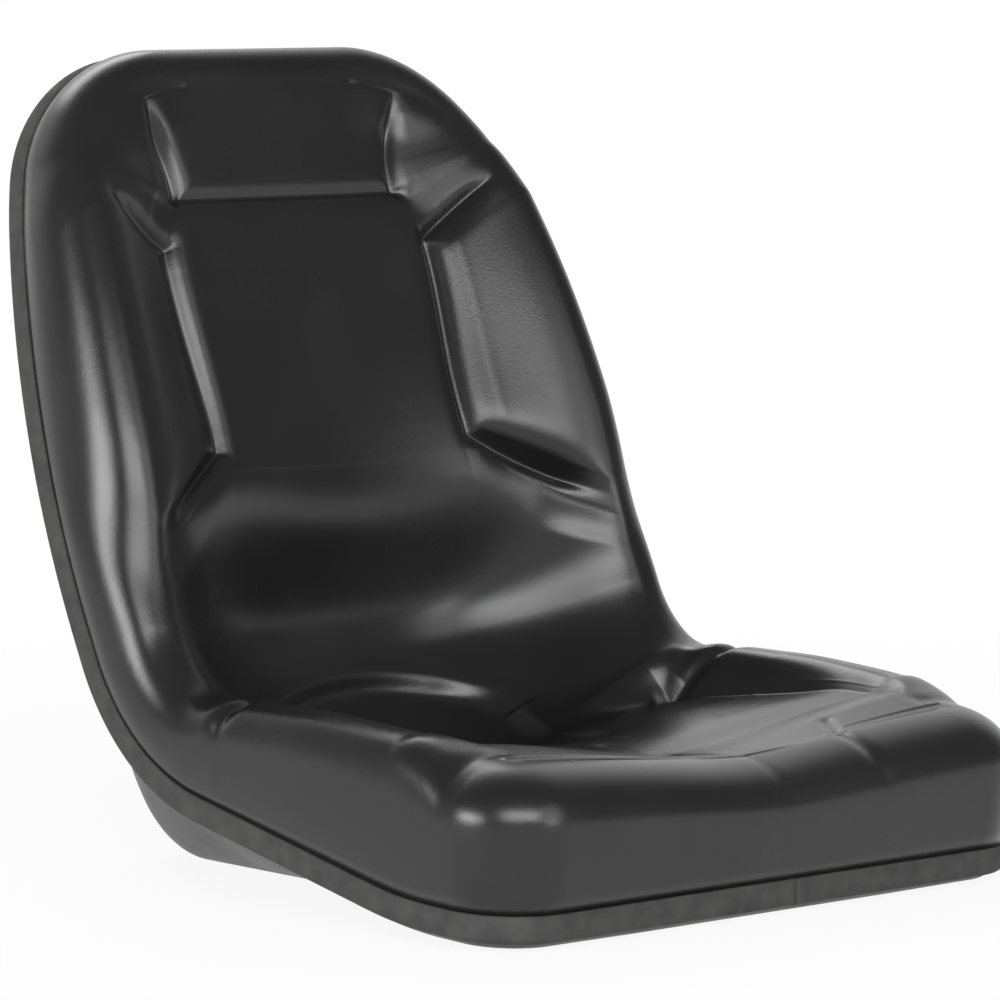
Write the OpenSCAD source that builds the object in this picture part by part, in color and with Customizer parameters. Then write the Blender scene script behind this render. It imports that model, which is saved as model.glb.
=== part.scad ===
// High-back seat for a small tractor: a moulded foam cushion in a glossy skin,
// bonded into a pressed steel pan, with a push-on strip around the edge.
// The seat stands on its pan, and its reference point is the middle of the four bolts,
// on the pan's underside. X is across the seat, the sitter faces -Y, Z is up.

/* [Outline] */
// Half of the width across the thighs, at the parting line
thigh_half_w = 245; // [235:1:265]
// Half of the width at the shoulders, at the parting line
shoulder_half_w = 198; // [190:1:210]
// Lean of the sides at the shoulders, in degrees
shoulder_lean = 16; // [12:0.5:20]
// Radius of the two front corners
front_corner_r = 50; // [44:1:60]
// Radius of the two top corners
top_corner_r = 115; // [105:1:125]

/* [Side profile of the parting line] */
// Height of the parting line at the front
front_z = 24; // [24:1:30]
// Distance from the seat's reference point to its front face
front_reach = 265; // [255:1:280]
// Level stretch behind the front face
front_run = 70; // [65:1:80]
// Straight stretch along the thighs
thigh_run = 238; // [225:1:250]
// Rise of the thigh stretch, in degrees
thigh_rise = 12; // [11:0.1:13]
// Radius of the bend between seat and back
bend_r = 155; // [145:1:170]
// Lean of the back just above the bend, in degrees from level
back_low_angle = 64; // [61:0.5:66]
// Lean of the back at its top, in degrees from level
back_top_angle = 86; // [84:0.5:88]
// Length of the back along the parting line, above the bend
back_run = 430; // [415:1:445]

/* [Cushion] */
// How far the wall bulges outside the parting line
wall_bulge = 5; // [3:0.5:7]
// Width of the rolled edge along the back and sides, from the parting line to its crest
roll_w = 25; // [22:1:30]
// Width of the rolled edge at the front
front_roll_w = 36; // [30:1:40]
// Depth of the sewn-look channels
channel_depth = 8; // [5:0.5:9]
// Half of the width of the channels
channel_half_w = 8; // [7:0.5:11]
// Depth of the sunken panel at the low point of the seat
sink_depth = 7; // [4:0.5:9]

/* [Pan] */
// Thickness of the pan's sheet steel
sheet = 2; // [1.5:0.1:2.5]
// Depth of the pan's upright edge below the parting line
pan_edge_h = 18; // [16:0.5:20]
// Radius of the bend between the pan's floor and its back
pan_bend_r = 75; // [65:1:85]
// Height of the two stiffening swages on the back
swage_h = 5; // [3:0.5:7]

/* [Edge strip] */
// Height of the strip's outer face
strip_h = 19; // [17:0.5:21]
// Thickness of the strip's outer leg
strip_wall = 5; // [4:0.1:6]
// Thickness of the strip's inner leg
strip_lip = 2.4; // [2:0.1:3]
// Place of the butt joint, to the side of the middle
strip_joint_x = 14; // [0:1:30]
// Gap between the two ends of the strip
strip_joint_gap = 1.2; // [0.6:0.1:2]

/* [Mounting] */
// Spacing of the bolts across the seat
bolt_span_x = 222.25; // [200:0.25:230]
// Spacing of the bolts from front to back
bolt_span_y = 285.75; // [260:0.25:290]
// Diameter of the holes in the pan
bolt_hole_d = 9; // [8.5:0.1:10]
// Core diameter of the thread in the weld nuts
thread_core_d = 6.8; // [6.6:0.1:7]
// Width across the flats of the weld nuts
nut_af = 14; // [13:0.5:16]
// Height of the weld nuts
nut_h = 6.5; // [5:0.5:8]
// Diameter of the drain hole
drain_d = 14; // [10:1:18]
// Place of the drain hole, behind the seat's reference point
drain_y = 66; // [55:1:75]

/* [Hidden] */
// Clearance between parts that lie against each other
fit = 0.3;
// How far the cuts run past the faces that they open
past = 1;

// A side profile is a path of [length, turn in degrees] pieces, walked from a
// start [y, z] and heading. Stations count its pieces: 2.5 is halfway along the third.
rim_start = [-front_reach, front_z];
rim_heading = 2;
front_bend_run = 60;
// Shares of the back's length and turn that its lower stretch takes
low_back_share = 0.71;
low_back_turn = 0.2;
bend_turn = back_low_angle - thigh_rise;
back_turn = back_top_angle - back_low_angle;
rim_path = [
    [front_run, 0],
    [front_bend_run, thigh_rise - rim_heading],
    [thigh_run - front_bend_run, 0],
    [bend_r * bend_turn * PI / 180, bend_turn],
    [back_run * low_back_share, back_turn * low_back_turn],
    [back_run * (1 - low_back_share), back_turn * (1 - low_back_turn)]
];

// The middle of the pan, seen from the side, and the row of the pan where each piece ends
pan_turn_in = 12;
pan_bend_reach = 155;
pan_floor = front_reach + pan_bend_reach;
pan_back_lean = 78;
pan_start = [-front_reach + pan_turn_in, 0];
pan_back_share = 0.56;
pan_back = back_run * pan_back_share;
pan_path = [
    [pan_floor, 0, 11],
    [pan_bend_r * back_top_angle * PI / 180, back_top_angle, 15],
    [pan_back, pan_back_lean - back_top_angle, 23],
    [pan_back, back_top_angle - pan_back_lean, 32]
];

function total(path, n) = n == 0 ? 0 : path[n - 1][0] + total(path, n - 1);
function ahead(a) = [cos(a), sin(a)];
function walk(p, a, len, turn, s) =
    turn == 0 ? p + s * ahead(a)
    : let (r = len * 180 / PI / turn, b = a + turn * s / len)
        p + r * [sin(b) - sin(a), cos(a) - cos(b)];
// Place and heading at distance s along a path, as [y, z, heading]
function along(path, p, a, s, i = 0) =
    let (len = path[i][0], turn = path[i][1], last = i == len(path) - 1)
    s <= 0 && i == 0 ? concat(p + s * ahead(a), [a])
    : s <= len ? concat(walk(p, a, len, turn, s), [a + turn * s / len])
    : last ? concat(walk(p, a, len, turn, len) + (s - len) * ahead(a + turn), [a + turn])
    : along(path, walk(p, a, len, turn, len), a + turn, s - len, i + 1);

function distance_at(t) =
    let (i = min(floor(t), len(rim_path) - 1)) total(rim_path, i) + (t - i) * rim_path[i][0];
function station_at(s, i = 0) =
    i == len(rim_path) - 1 || s <= rim_path[i][0] ? i + s / rim_path[i][0]
    : station_at(s - rim_path[i][0], i + 1);
rim_len = total(rim_path, len(rim_path));

// A smooth curve through [station, value] pairs
function slope(v, i) =
    i == 0 || i == len(v) - 1 ? 0
    : (v[i + 1][1] - v[i - 1][1]) / (v[i + 1][0] - v[i - 1][0]);
function smooth_at(v, t, i = 0) =
    t <= v[0][0] ? v[0][1]
    : i == len(v) - 1 ? v[i][1]
    : t > v[i + 1][0] ? smooth_at(v, t, i + 1)
    : let (h = v[i + 1][0] - v[i][0], q = (t - v[i][0]) / h)
        v[i][1] * (1 + 2 * q) * pow(1 - q, 2) + v[i + 1][1] * q * q * (3 - 2 * q)
        + h * slope(v, i) * q * pow(1 - q, 2) - h * slope(v, i + 1) * q * q * (1 - q);
function ease(q) = let (c = max(0, min(1, q))) c * c * (3 - 2 * c);

// Heights of the skin above the parting line, by station: along the middle, how much
// higher the valley beside the wing is, and along the wing's crest
middle_h = [
    [0.3, 77], [1.4, 64], [2.1, 42], [2.74, 20], [3.1, 5], [3.5, -14],
    [3.8, -29], [4.02, -32], [4.12, -20], [4.29, 14], [4.6, 33], [4.9, 42], [5.6, 42], [6, 38]
];
valley_rise = [[0.3, 12], [1, 22], [2, 22], [2.7, 18], [3.2, 18], [3.7, 22], [4.2, 18], [4.6, 5], [5, 1]];
crest_h = [
    [0.3, 88], [1, 97], [1.8, 101], [2.4, 89], [2.74, 77], [3, 67], [3.25, 58], [3.5, 55],
    [4.05, 56], [4.17, 62], [4.3, 71], [4.45, 77], [4.75, 78], [5.08, 69], [5.33, 60],
    [5.7, 47], [6, 40]
];
// Half of the width between the valleys, and how late the wing rises from its valley
valley_half_w = [
    [1, 198], [2.6, 196], [3.2, 186], [3.9, 146], [4.42, 117], [4.91, 121], [5.08, 101],
    [5.78, 116], [6, 116]
];
wing_lateness = [[1, 1], [3, 1], [3.6, 1.4], [4.2, 2.4], [4.7, 1.8], [5.4, 1.4]];

// Each side panel lies between two channels that slant across the wing, and the head
// panel stands on a third: their places in the middle of the seat, and how far the
// two slanting ones move along the seat from the valley to the wing's crest
panel_low = distance_at(4.42);
panel_top = distance_at(4.91);
head_low = distance_at(5.08);
low_slant = -69;
top_slant = 47;

// The outline of the parting line on the unrolled seat, from the front row to the
// top row: each row has [x, distance, outward x, outward distance] at its right end
front_arc_rows = 5;
top_arc_rows = 7;
side_from = front_corner_r;
side_to = rim_len - top_corner_r * (1 - sin(shoulder_lean));
beside_channel = 2 * channel_half_w;
side_marks = [
    side_from, distance_at(2.6), distance_at(4), panel_low - beside_channel,
    panel_low + beside_channel, panel_top - beside_channel, panel_top + beside_channel,
    head_low + beside_channel, side_to
];
side_rows = [10, 12, 7, 4, 7, 4, 6, 2];
// The sides curve inward along the back, evenly, until they lean by shoulder_lean
narrow_run = 2 * (thigh_half_w - shoulder_half_w) / tan(shoulder_lean);
function narrowed(s) = max(0, s - side_to + narrow_run) / narrow_run;
function half_w(s) = thigh_half_w - (thigh_half_w - shoulder_half_w) * pow(narrowed(s), 2);
function side(s) = let (a = atan(tan(shoulder_lean) * narrowed(s))) [half_w(s), s, cos(a), sin(a)];
function front_arc(k) = let (a = 90 * k / front_arc_rows, r = front_corner_r)
    [thigh_half_w - r * (1 - sin(a)), r * (1 - cos(a)), sin(a), -cos(a)];
function top_arc(k) =
    let (a = shoulder_lean + (90 - shoulder_lean) * k / top_arc_rows, r = top_corner_r)
    [shoulder_half_w - r * (cos(shoulder_lean) - cos(a)), rim_len - r * (1 - sin(a)), cos(a), sin(a)];
side_places = [
    for (i = [0 : len(side_rows) - 1]) for (k = [1 : side_rows[i]])
        side_marks[i] + (side_marks[i + 1] - side_marks[i]) * k / side_rows[i]
];
outline = concat(
    [for (k = [0 : front_arc_rows]) front_arc(k)],
    [for (s = side_places) side(s)],
    [for (k = [1 : top_arc_rows]) top_arc(k)]
);
rows = len(outline) - 1;

// Places of the columns: from 0 in the middle to 1 at the valley and 2 at the wing's crest
half_columns = [
    0.22, 0.44, 0.64, 0.8, 0.88, 0.94, 1, 1.07, 1.14, 1.24, 1.42, 1.62, 1.82, 2
];
columns = concat([for (k = [len(half_columns) - 1 : -1 : 0]) -half_columns[k]], [0], half_columns);
cols = len(columns) - 1;

// A point at x across and s along the unrolled seat, h above the parting line
function on_seat(x, s, h) =
    let (b = along(rim_path, rim_start, rim_heading, s))
    [x, b[0] - h * sin(b[2]), b[1] + h * cos(b[2])];

// The rows bend in the wings to follow the slanting channels
row_bend = [
    [distance_at(3.8), 0], [panel_low, low_slant], [panel_top, top_slant], [distance_at(5.5), 0]
];
// A place on the skin: row distance s0, column c, and the row's right end
function skin_place(c, s0, end) =
    let (
        t = station_at(s0),
        v = min(smooth_at(valley_half_w, t), end - least_wing),
        a = abs(c),
        x = a < 1 ? a * v : v + (a - 1) * (end - v)
    )
    [sign(c) * x, s0 + max(0, a - 1) * smooth_at(row_bend, s0)];

// The wing is at least this wide, and this is its width where the channels slant
least_wing = 12;
wing_w = 105;
// Columns at which the slanting channels have faded, and over how much of one they fade
low_fade = 1.95;
top_fade = 1.9;
slant_fade = 0.4;
// Where the channels beside the head panel end, and over what length they fade
head_fade = distance_at(5.82);
head_fade_run = 45;

// Closeness to a channel: 1 in it, 0 beside it
function near(d) = exp(-pow(d / channel_half_w, 2));
// Closeness to a channel that slants across the wing from distance s0, crossing the
// rows at angle, and fades before the crest; s is ahead of the valley by a - 1
function slanting(s, a, inner, s0, slant, fade) =
    let (d = (s - s0 - (a - 1) * slant) * cos(atan(slant / wing_w)))
    near(norm([inner, d])) * ease((fade - a) / slant_fade);
// How deep the channels are at x across and s along, in column a of row s0
function channels(x, s, a, s0, v) =
    let (
        out = max(0, abs(x) - v),
        inner = max(0, v - abs(x)),
        panel = max(0, panel_low - s0, s0 - panel_top),
        head = max(0, head_low - s0)
    )
    max(
        near(norm([out + inner, panel])),
        near(norm([out + inner, head])) * ease((head_fade - s0) / head_fade_run),
        near(norm([out, s0 - head_low])),
        slanting(s, a, inner, panel_low, low_slant, low_fade),
        slanting(s, a, inner, panel_top, top_slant, top_fade)
    );

// Creases across the wings: at their front ends, and at the fold between seat and back
function crease(x, s, p, q, half_width) =
    let (
        v = q - p,
        w = [abs(x), s] - p,
        k = max(0, min(1, w * v / (v * v)))
    )
    exp(-pow(norm(w - k * v) / half_width, 2));
// Each crease has its inner and outer end as [x, distance], its half width and its depth
front_crease = [
    [thigh_half_w - 49, front_corner_r + 12], [thigh_half_w - 23, front_corner_r + 6], 6, 2
];
fold_crease = [
    [thigh_half_w - 59, distance_at(3.1)], [thigh_half_w - 29, distance_at(3.2)], 7, 3
];
function creases(x, s) =
    let (f = front_crease, g = fold_crease)
    f[3] * crease(x, s, f[0], f[1], f[2]) + g[3] * crease(x, s, g[0], g[1], g[2]);

// The sunken panel at the low point: a half ellipse behind, drawn in toward the front
sink_mid = distance_at(3.45);
sink_half_w = 105;
sink_back = 50;
sink_front = 155;
sink_front_half_w = 62;
// Share of the way out at which its wall starts, and the share that the wall takes
sink_edge = 0.93;
sink_wall = 0.14;
function sink(x, s) =
    s > sink_mid ? 1 - ease((norm([x / sink_half_w, (s - sink_mid) / sink_back]) - sink_edge) / sink_wall)
    : let (
        q = (sink_mid - s) / sink_front,
        wide = sink_half_w + (sink_front_half_w - sink_half_w) * q
    )
    (1 - ease((abs(x) / wide - sink_edge) / sink_wall)) * ease((1.1 - q) / 0.4);

// Height of the skin above the parting line, at a place whose row ends at crest_x
function skin_h(c, s0, place, crest_x) =
    let (
        x = place[0],
        t = station_at(place[1]),
        v = min(smooth_at(valley_half_w, station_at(s0)), crest_x - least_wing),
        a = abs(x),
        valley = smooth_at(middle_h, t) + smooth_at(valley_rise, t) * pow(min(1, a / v), 2),
        q = max(0, min(1, (a - v) / (crest_x - v)))
    )
    valley + (smooth_at(crest_h, t) - valley) * (a > v ? sin(90 * pow(q, smooth_at(wing_lateness, t))) : 0)
    - channel_depth * channels(x, place[1], max(1, abs(c)), s0, v)
    - creases(x, place[1])
    - sink_depth * sink(x, place[1]);

// The loop around a grid of rows and columns, as [row, column]
function around(n, m, l) =
    l <= m ? [0, l] : l <= m + n ? [l - m, m] : l <= 2 * m + n ? [n, 2 * m + n - l]
    : [2 * m + 2 * n - l, 0];
loop_len = 2 * (rows + cols);
// A point of the outline moved inward, and its height on the seat
function rim_point(l, inward, h) =
    let (
        rc = around(rows, cols, l),
        o = outline[rc[0]],
        x = (o[0] - o[2] * inward) * columns[rc[1]] / 2
    )
    on_seat(x, o[1] - o[3] * inward, h);

// Faces of a grid whose rows start at index base, seen from its positive side
function grid_faces(n, m, base) = [
    for (i = [0 : n - 1]) for (j = [0 : m - 1])
        let (a = base + i * (m + 1) + j, b = a + m + 1)
            each [[a, b + 1, a + 1], [a, b, b + 1]]
];
// Faces between two loops of the same length, and between a loop and one half as long
function band(p, q) = [
    for (l = [0 : len(p) - 1])
        let (k = (l + 1) % len(p)) each [[p[l], p[k], q[k]], [p[l], q[k], q[l]]]
];
function half_band(p, q) = [
    for (l = [0 : len(q) - 1])
        let (k = (l + 1) % len(q), a = 2 * l, b = 2 * l + 1, c = (2 * l + 2) % len(p))
            each [[p[a], p[b], q[l]], [p[b], p[c], q[k]], [p[b], q[k], q[l]]]
];
function turned(faces) = [for (f = faces) [f[0], f[2], f[1]]];
function span(base, n) = [for (k = [0 : n - 1]) base + k];
function loop_of(n, m, base) = [
    for (l = [0 : 2 * (n + m) - 1]) let (rc = around(n, m, l)) base + rc[0] * (m + 1) + rc[1]
];

// The pan's sheet: every second row, from its own profile
pan_rows = rows / 2;
// The flat reaches past the weld nuts, as a share of the half width
nut_across = nut_af / cos(30);
flat_margin = 4.3;
pan_flat = (bolt_span_x / 2 + nut_across / 2 + flat_margin) / (thigh_half_w - pan_turn_in);
pan_half_columns = concat(
    [for (k = [0.415, 0.64, 0.83, 1]) k * pan_flat],
    [for (k = [0.32, 0.66, 1]) pan_flat + (1 - pan_flat) * k]
);
pan_columns = concat([for (k = [6 : -1 : 0]) -pan_half_columns[k]], [0], pan_half_columns);
pan_cols = len(pan_columns) - 1;
pan_turn_drop = 5;
pan_turn_h = pan_edge_h + pan_turn_drop;
// The sheet rises from its flat middle to the rim over these shares of the two corners
front_ramp = 0.7;
top_ramp = 0.8;
// Stations between which the swages run, and how much of one they take to rise
swage_from = 4.1;
swage_to = 5.6;
swage_fade = 0.2;
edge_in = strip_wall + fit;
function pan_place(row, i = 0, from = 0) =
    let (to = pan_path[i][2])
    row <= to || i == len(pan_path) - 1
    ? total(pan_path, i) + pan_path[i][0] * (row - from) / (to - from)
    : pan_place(row, i + 1, to);
function pan_middle(row) =
    let (p = along(pan_path, pan_start, 0, pan_place(row))) [0, p[0], p[1]];
function swage(a, t) =
    (abs(a) == pan_half_columns[1] ? swage_h : 0) * ease((t - swage_from) / swage_fade)
    * ease((swage_to - t) / swage_fade);
function pan_point(i, j) =
    let (
        o = outline[2 * i],
        a = pan_columns[j],
        x = (o[0] - o[2] * pan_turn_in) * a,
        s = o[1] - o[3] * pan_turn_in,
        t = station_at(s),
        edge = on_seat(x, s, -pan_turn_h),
        ends = ease(s / (front_ramp * front_corner_r))
            * ease((rim_len - s) / (top_ramp * top_corner_r)),
        share = ends * (1 - ease((abs(a) - pan_flat) / (1 - pan_flat))),
        mid = pan_middle(i),
        out = on_seat(0, s, -1) - on_seat(0, s, 0)
    )
    [x, edge[1], edge[2]] + share * ([0, mid[1], mid[2]] - [0, edge[1], edge[2]])
    + swage(a, t) * out;
pan_grid = [for (i = [0 : pan_rows]) [for (j = [0 : pan_cols]) pan_point(i, j)]];
function unit(v) = v / norm(v);
function pan_normal(i, j) =
    let (
        a = pan_grid[min(i + 1, pan_rows)][j] - pan_grid[max(i - 1, 0)][j],
        b = pan_grid[i][min(j + 1, pan_cols)] - pan_grid[i][max(j - 1, 0)]
    )
    unit(cross(b, a));
// The pan's sheet moved toward the sitter
function pan_moved(by) = [
    for (i = [0 : pan_rows]) for (j = [0 : pan_cols]) pan_grid[i][j] + by * pan_normal(i, j)
];
pan_size = (pan_rows + 1) * (pan_cols + 1);

// The rolled edge of the cushion: shares of the way from the crest out to the widest
// line, which lies at widest of the wall's height, and down to the parting line
roll_rings = 6;
roll_square = 0.8;
widest = 0.34;
function roll(k, wide) =
    let (a = 90 * k / (roll_rings - 1))
    k == roll_rings ? [0, 0]
    : [wide - (wide + wall_bulge) * pow(sin(a), roll_square),
       widest + (1 - widest) * pow(cos(a), roll_square)];
function roll_at(i) =
    roll_w + (front_roll_w - roll_w) * (1 - ease(outline[i][1] / (2 * front_corner_r) - 0.5));
function row_end(i) = outline[i][0] - outline[i][2] * roll_at(i);
function row_s(i) = outline[i][1] - outline[i][3] * roll_at(i);
function skin_point(i, c) =
    let (p = skin_place(c, row_s(i), row_end(i)))
    on_seat(p[0], p[1], skin_h(c, row_s(i), p, row_end(i)));
function roll_point(l, k) =
    let (
        rc = around(rows, cols, l),
        i = rc[0],
        r = roll(k, roll_at(i)),
        c = columns[rc[1]],
        o = outline[i],
        p = skin_place(c, row_s(i), row_end(i)),
        h = skin_h(c, row_s(i), p, row_end(i)),
        out = roll_at(i) - r[0],
        side = rc[1] == 0 ? -1 : rc[1] == cols ? 1 : 0,
        bend = (p[1] - row_s(i)) * (1 - k / roll_rings)
    )
    on_seat(
        p[0] + o[2] * side * out,
        row_s(i) + bend + o[3] * out,
        h * r[1]
    );

// Where the strip's inner leg starts, and where the cushion steps in behind it
strip_in = edge_in + sheet + fit;
ledge_in = strip_in + strip_lip + fit;
ledge_low = pan_edge_h - sheet;
// How far below the parting line the pan's upright edge stops, under the strip's web
edge_top = fit + strip_lip + fit;

module cushion_body() {
    skin = [for (i = [0 : rows]) for (a = columns) skin_point(i, a)];
    rings = [for (k = [1 : roll_rings]) for (l = [0 : loop_len - 1]) roll_point(l, k)];
    ledge = [
        for (h = [0, -ledge_low]) for (l = [0 : loop_len - 1]) rim_point(l, ledge_in, h)
    ];
    under = pan_moved(sheet + fit);
    n = len(skin);
    u = n + len(rings) + len(ledge);
    loops = concat(
        [loop_of(rows, cols, 0)],
        [for (k = [0 : roll_rings + 1]) span(n + k * loop_len, loop_len)]
    );
    color([0.09, 0.09, 0.1]) polyhedron(
        points = concat(skin, rings, ledge, under),
        faces = concat(
            grid_faces(rows, cols, 0),
            [for (k = [0 : len(loops) - 2]) each band(loops[k], loops[k + 1])],
            half_band(loops[len(loops) - 1], loop_of(pan_rows, pan_cols, u)),
            turned(grid_faces(pan_rows, pan_cols, u))
        ),
        convexity = 10
    );
}

module at_bolts() {
    for (x = [-0.5, 0.5]) for (y = [-0.5, 0.5])
        translate([x * bolt_span_x, y * bolt_span_y, 0]) children();
}

// Room for the nuts in the cushion, and the drain hole's cut up to above the seat's low point
nut_side_gap = 1.5;
nut_top_gap = 2;
nut_pocket_d = nut_across + 2 * nut_side_gap;
nut_pocket_h = sheet + nut_h + nut_top_gap;
drain_cut_h = on_seat(0, distance_at(4), 0)[2];
module cushion() {
    color([0.09, 0.09, 0.1]) difference() {
        cushion_body();
        at_bolts() cylinder(d = nut_pocket_d, h = nut_pocket_h, $fn = 48);
        translate([0, drain_y, -past]) cylinder(d = drain_d, h = drain_cut_h + past, $fn = 48);
    }
}

module seat_pan_sheet() {
    lips = [
        for (side = [0, 1]) for (h = [-edge_top, -pan_edge_h])
            for (l = [0 : loop_len - 1]) rim_point(l, edge_in + side * sheet, h)
    ];
    outer = pan_moved(0);
    inner = pan_moved(sheet);
    u = len(lips);
    v = u + pan_size;
    loops = [for (k = [0 : 3]) span(k * loop_len, loop_len)];
    polyhedron(
        points = concat(lips, outer, inner),
        faces = concat(
            band(loops[0], loops[1]),
            half_band(loops[1], loop_of(pan_rows, pan_cols, u)),
            turned(grid_faces(pan_rows, pan_cols, u)),
            turned(band(loops[2], loops[3])),
            turned(half_band(loops[3], loop_of(pan_rows, pan_cols, v))),
            grid_faces(pan_rows, pan_cols, v),
            band(loops[2], loops[0])
        ),
        convexity = 10
    );
}

// The drain hole is wider in the sheet than in the cushion
drain_step = 1;
sheet_cut = sheet + 2 * past;
module seat_pan() {
    color([0.16, 0.16, 0.17]) difference() {
        seat_pan_sheet();
        at_bolts() translate([0, 0, -past]) cylinder(d = bolt_hole_d, h = sheet_cut, $fn = 48);
        translate([0, drain_y, -past])
            cylinder(d = drain_d + 2 * drain_step, h = sheet_cut, $fn = 48);
    }
}

// The strip's section, as [inward, height]: a channel pushed down over the pan's edge
strip_proud = 1;
strip_round = 4.5;
// Depth of the strip's inner leg, and the least distance from its joint to the next ring
strip_leg_h = 0.6 * pan_edge_h;
joint_margin = 4;
strip_section = concat(
    [
        [-strip_proud, -fit],
        [strip_in + strip_lip, -fit],
        [strip_in + strip_lip, -strip_leg_h],
        [strip_in, -strip_leg_h],
        [strip_in, -fit - strip_lip],
        [strip_wall, -fit - strip_lip],
        [strip_wall, -strip_h]
    ],
    [for (a = [90, 45, 0]) let (r = strip_round)
        [-strip_proud + r * (1 - cos(a)), -strip_h + r * (1 - sin(a))]]
);
module edge_strip() {
    m = len(strip_section);
    right = [for (j = [0 : cols]) if (columns[j] / 2 * outline[0][0] > strip_joint_x + joint_margin) j][0];
    left = right - 1;
    ends = [strip_joint_x + strip_joint_gap / 2, strip_joint_x - strip_joint_gap / 2];
    inner_loops = [for (l = [right : loop_len - 1]) l];
    closing = [for (l = [0 : left]) if (columns[l] / 2 * outline[0][0] < strip_joint_x - joint_margin) l];
    points = concat(
        [for (c = strip_section) on_seat(ends[0], c[0], c[1])],
        [for (l = inner_loops) for (c = strip_section) rim_point(l, c[0], c[1])],
        [for (l = closing) for (c = strip_section) rim_point(l, c[0], c[1])],
        [for (c = strip_section) on_seat(ends[1], c[0], c[1])]
    );
    n = len(points) / m;
    color([0.2, 0.2, 0.21]) polyhedron(
        points = points,
        faces = concat(
            [for (i = [0 : n - 2]) for (k = [0 : m - 1])
                let (a = i * m + k, b = i * m + (k + 1) % m)
                    each [[a, b + m, a + m], [a, b, b + m]]],
            [[for (k = [m - 1 : -1 : 0]) k], [for (k = [0 : m - 1]) (n - 1) * m + k]]
        ),
        convexity = 10
    );
}

module weld_nuts() {
    color([0.6, 0.6, 0.58]) at_bolts() translate([0, 0, sheet]) difference() {
        cylinder(d = nut_across, h = nut_h, $fn = 6);
        translate([0, 0, -past]) cylinder(d = thread_core_d, h = nut_h + 2 * past, $fn = 48);
    }
}

cushion();
seat_pan();
edge_strip();
weld_nuts();
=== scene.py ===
"""Looks of the tractor seat: its moulded cushion, pressed pan, edge strip and weld nuts."""
import math

import bmesh
import bpy
import numpy as np
from mathutils import Matrix, Vector


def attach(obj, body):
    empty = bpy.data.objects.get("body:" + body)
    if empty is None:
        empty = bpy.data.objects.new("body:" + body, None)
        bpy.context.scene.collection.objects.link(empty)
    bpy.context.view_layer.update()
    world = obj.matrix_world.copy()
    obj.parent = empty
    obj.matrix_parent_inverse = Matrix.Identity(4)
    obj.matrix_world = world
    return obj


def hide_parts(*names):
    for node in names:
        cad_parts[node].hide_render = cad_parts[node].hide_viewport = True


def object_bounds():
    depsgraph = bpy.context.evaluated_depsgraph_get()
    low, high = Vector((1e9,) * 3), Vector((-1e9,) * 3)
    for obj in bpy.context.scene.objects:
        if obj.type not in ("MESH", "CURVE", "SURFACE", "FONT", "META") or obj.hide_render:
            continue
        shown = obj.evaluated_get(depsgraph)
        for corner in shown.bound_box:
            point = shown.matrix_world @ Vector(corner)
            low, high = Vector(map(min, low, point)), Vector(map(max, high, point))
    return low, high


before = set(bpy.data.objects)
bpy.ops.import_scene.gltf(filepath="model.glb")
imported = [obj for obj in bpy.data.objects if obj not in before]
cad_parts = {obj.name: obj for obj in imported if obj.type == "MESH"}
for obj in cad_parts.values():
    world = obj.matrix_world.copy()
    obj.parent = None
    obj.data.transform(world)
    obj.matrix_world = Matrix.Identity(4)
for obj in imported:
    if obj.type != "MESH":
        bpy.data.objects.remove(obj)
cad_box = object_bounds()

# The forms are worked out in millimetres, as the seat's construction is, and made in metres
METRE = 0.001
# Points closer than this are one point, in metres
WELD = 1e-6

# Outline of the parting line
THIGH_HALF_W = 245
SHOULDER_HALF_W = 198
SHOULDER_LEAN = math.radians(16)
FRONT_CORNER_R = 50
TOP_CORNER_R = 115

# Side profile of the parting line
FRONT_Z = 24
FRONT_REACH = 265
FRONT_RUN = 70
FRONT_BEND = 60
THIGH_RUN = 238
THIGH_RISE = 12
BEND_R = 155
BACK_LOW_ANGLE = 64
BACK_TOP_ANGLE = 86
BACK_RUN = 430
RIM_HEADING = 2

# Cushion
WALL_BULGE = 5
ROLL_W = 25
FRONT_ROLL_W = 44
CHANNEL_DEPTH = 8
CHANNEL_HALF_W = 6
CHANNEL_FOLD = 1.45
SINK_DEPTH = 7
WING_W = 105

# Pan, strip and clearances
SHEET = 2
PAN_EDGE_H = 18
PAN_BEND_R = 75
SWAGE_H = 5
STRIP_H = 19
STRIP_WALL = 5
STRIP_LIP = 2.4
STRIP_JOINT_X = 14
STRIP_JOINT_GAP = 1.2
FIT = 0.3

# Mounting
BOLT_SPAN = (222.25, 285.75)
BOLT_HOLE_D = 9
NUT_AF = 14
NUT_H = 6.5
DRAIN_D = 14
DRAIN_Y = 66


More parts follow.
